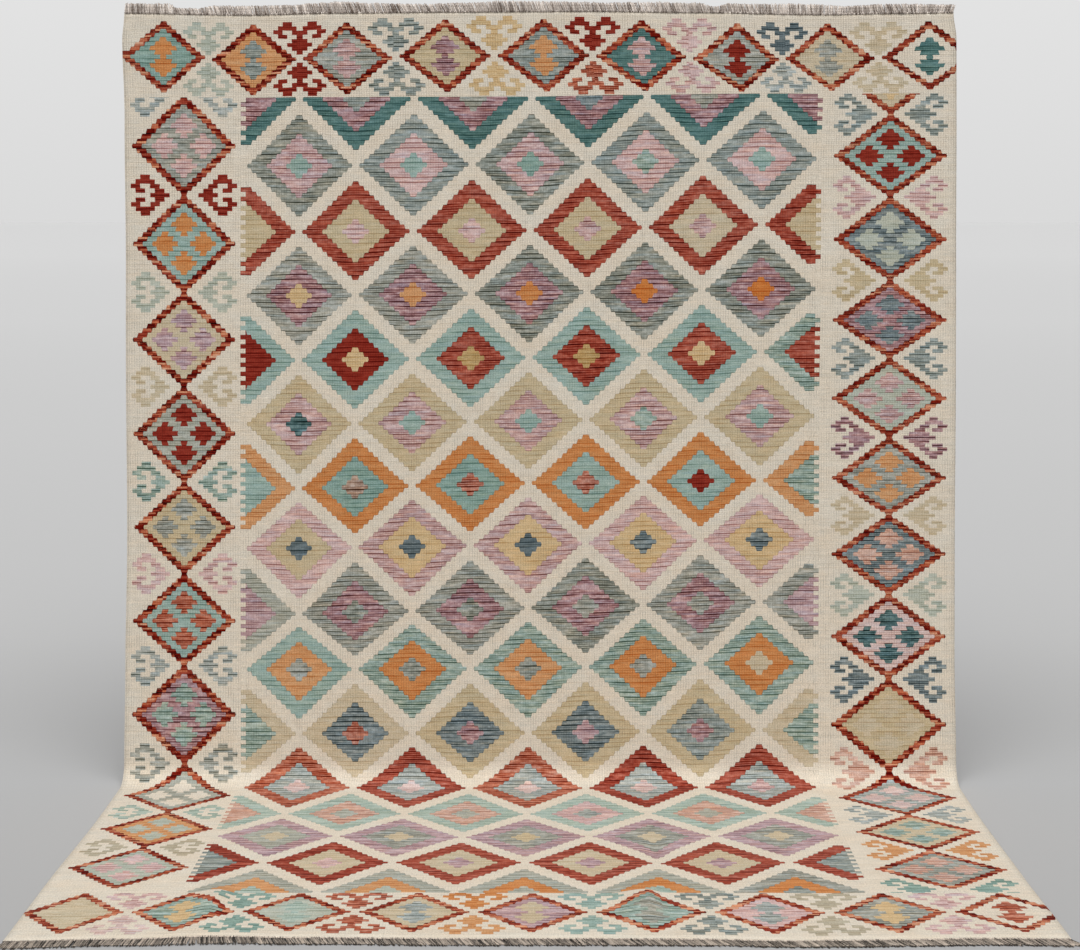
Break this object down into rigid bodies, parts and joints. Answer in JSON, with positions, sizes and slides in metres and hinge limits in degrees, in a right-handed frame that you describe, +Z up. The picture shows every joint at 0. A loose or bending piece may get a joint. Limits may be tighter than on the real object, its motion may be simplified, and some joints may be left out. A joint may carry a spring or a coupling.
{
  "type": "kilim rug",
  "caption": "Flat-woven kilim held by its top edge, its lower part laid out on the floor, with a short warp fringe at each end.",
  "frame": {"origin": "the middle of the cloth's top edge, where it is held against what it hangs on; the floor that its lower part lies on is at z = -1.85", "axes": "+Z up, -Y the way the patterned front faces and the lower part runs out over the floor, +X to the right as seen from the front"},
  "size_m": [2.0238, 0.8936, 1.8802],
  "materials": {
    "woven_wool": "weft-faced slit tapestry in hand-spun wool, cream ground with stepped diamonds in red, teal, slate, olive, orange and rose",
    "warp_ends": "grey-brown warp yarn ends, twined at their roots"
  },
  "bodies": {
    "root": {"kilim": "woven_wool", "fringe_top": "warp_ends", "fringe_bottom": "warp_ends"}
  },
  "joints": []
}
